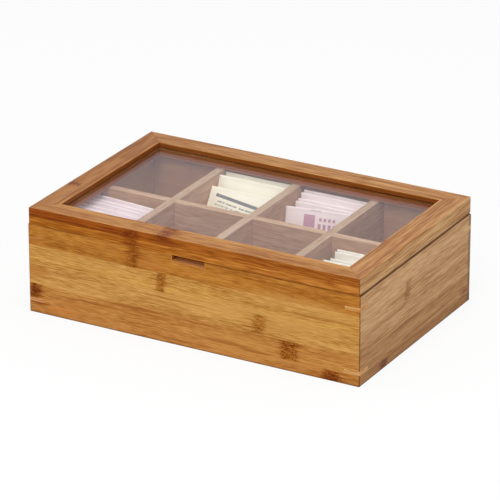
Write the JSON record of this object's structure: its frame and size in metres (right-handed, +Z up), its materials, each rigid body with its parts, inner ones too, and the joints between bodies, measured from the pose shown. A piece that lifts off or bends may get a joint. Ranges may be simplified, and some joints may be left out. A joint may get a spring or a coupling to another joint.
{
  "type": "tea box",
  "caption": "Flat bamboo tea box with a hinged glazed lid, a finger notch in its front edge and a slotted grid of compartments, some holding leaning paper sachets.",
  "frame": {"origin": "middle of the footprint, on the underside that the box rests on", "axes": "+X to the right along the front, +Y from the front to the hinged back, +Z up"},
  "size_m": [0.314, 0.202, 0.0946],
  "materials": {
    "bamboo": "carbonised bamboo strips, thin satin lacquer",
    "bamboo_lid": "carbonised bamboo strips, thin satin lacquer",
    "bamboo_inside": "smooth bamboo, matt",
    "bamboo_key": "paler bamboo end strips",
    "pane": "clear polished sheet",
    "brass": "plain brass, lightly tarnished",
    "paper_lavender": "coated paper envelope",
    "paper_cream": "coated paper envelope",
    "paper_rose": "coated paper envelope",
    "paper_ivory": "coated paper envelope"
  },
  "bodies": {
    "base": {"back_panel": "bamboo", "bottom_panel": "bamboo_inside", "corner_key_back_left_lower": "bamboo_key", "corner_key_back_left_upper": "bamboo_key", "corner_key_back_right_lower": "bamboo_key", "corner_key_back_right_upper": "bamboo_key", "corner_key_front_left_lower": "bamboo_key", "corner_key_front_left_upper": "bamboo_key", "corner_key_front_right_lower": "bamboo_key", "corner_key_front_right_upper": "bamboo_key", "cream_sachet_1": "paper_cream", "cream_sachet_2": "paper_cream", "cream_sachet_3": "paper_cream", "cross_divider_1": "bamboo_inside", "cross_divider_2": "bamboo_inside", "cross_divider_3": "bamboo_inside", "front_panel": "bamboo", "hinge_left_base_leaf": "brass", "hinge_left_pin": "brass", "hinge_right_base_leaf": "brass", "hinge_right_pin": "brass", "hinge_screws_base": "brass", "ivory_sachet_1": "paper_ivory", "ivory_sachet_2": "paper_ivory", "ivory_sachet_3": "paper_ivory", "ivory_sachet_4": "paper_ivory", "ivory_sachet_5": "paper_ivory", "lavender_sachet_1": "paper_lavender", "lavender_sachet_2": "paper_lavender", "lavender_sachet_3": "paper_lavender", "lavender_sachet_4": "paper_lavender", "lavender_sachet_5": "paper_lavender", "lavender_sachet_6": "paper_lavender", "lavender_sachet_7": "paper_lavender", "left_panel": "bamboo", "long_divider": "bamboo_inside", "right_panel": "bamboo", "rose_sachet_1": "paper_rose", "rose_sachet_2": "paper_rose", "rose_sachet_3": "paper_rose", "rose_sachet_4": "paper_rose", "rose_sachet_5": "paper_rose"},
    "lid": {"hinge_left_lid_leaf": "brass", "hinge_right_lid_leaf": "brass", "hinge_screws_lid": "brass", "lid_back_rail": "bamboo_lid", "lid_front_rail": "bamboo_lid", "lid_left_stile": "bamboo_lid", "lid_right_stile": "bamboo_lid", "window_pane": "pane"}
  },
  "joints": [
    {"name": "lid_hinge", "type": "hinge", "parent": "base", "child": "lid", "pos_m": [0, 0.0988, 0.08], "axis": [-1, 0, 0], "range_deg": [0, 100]}
  ]
}
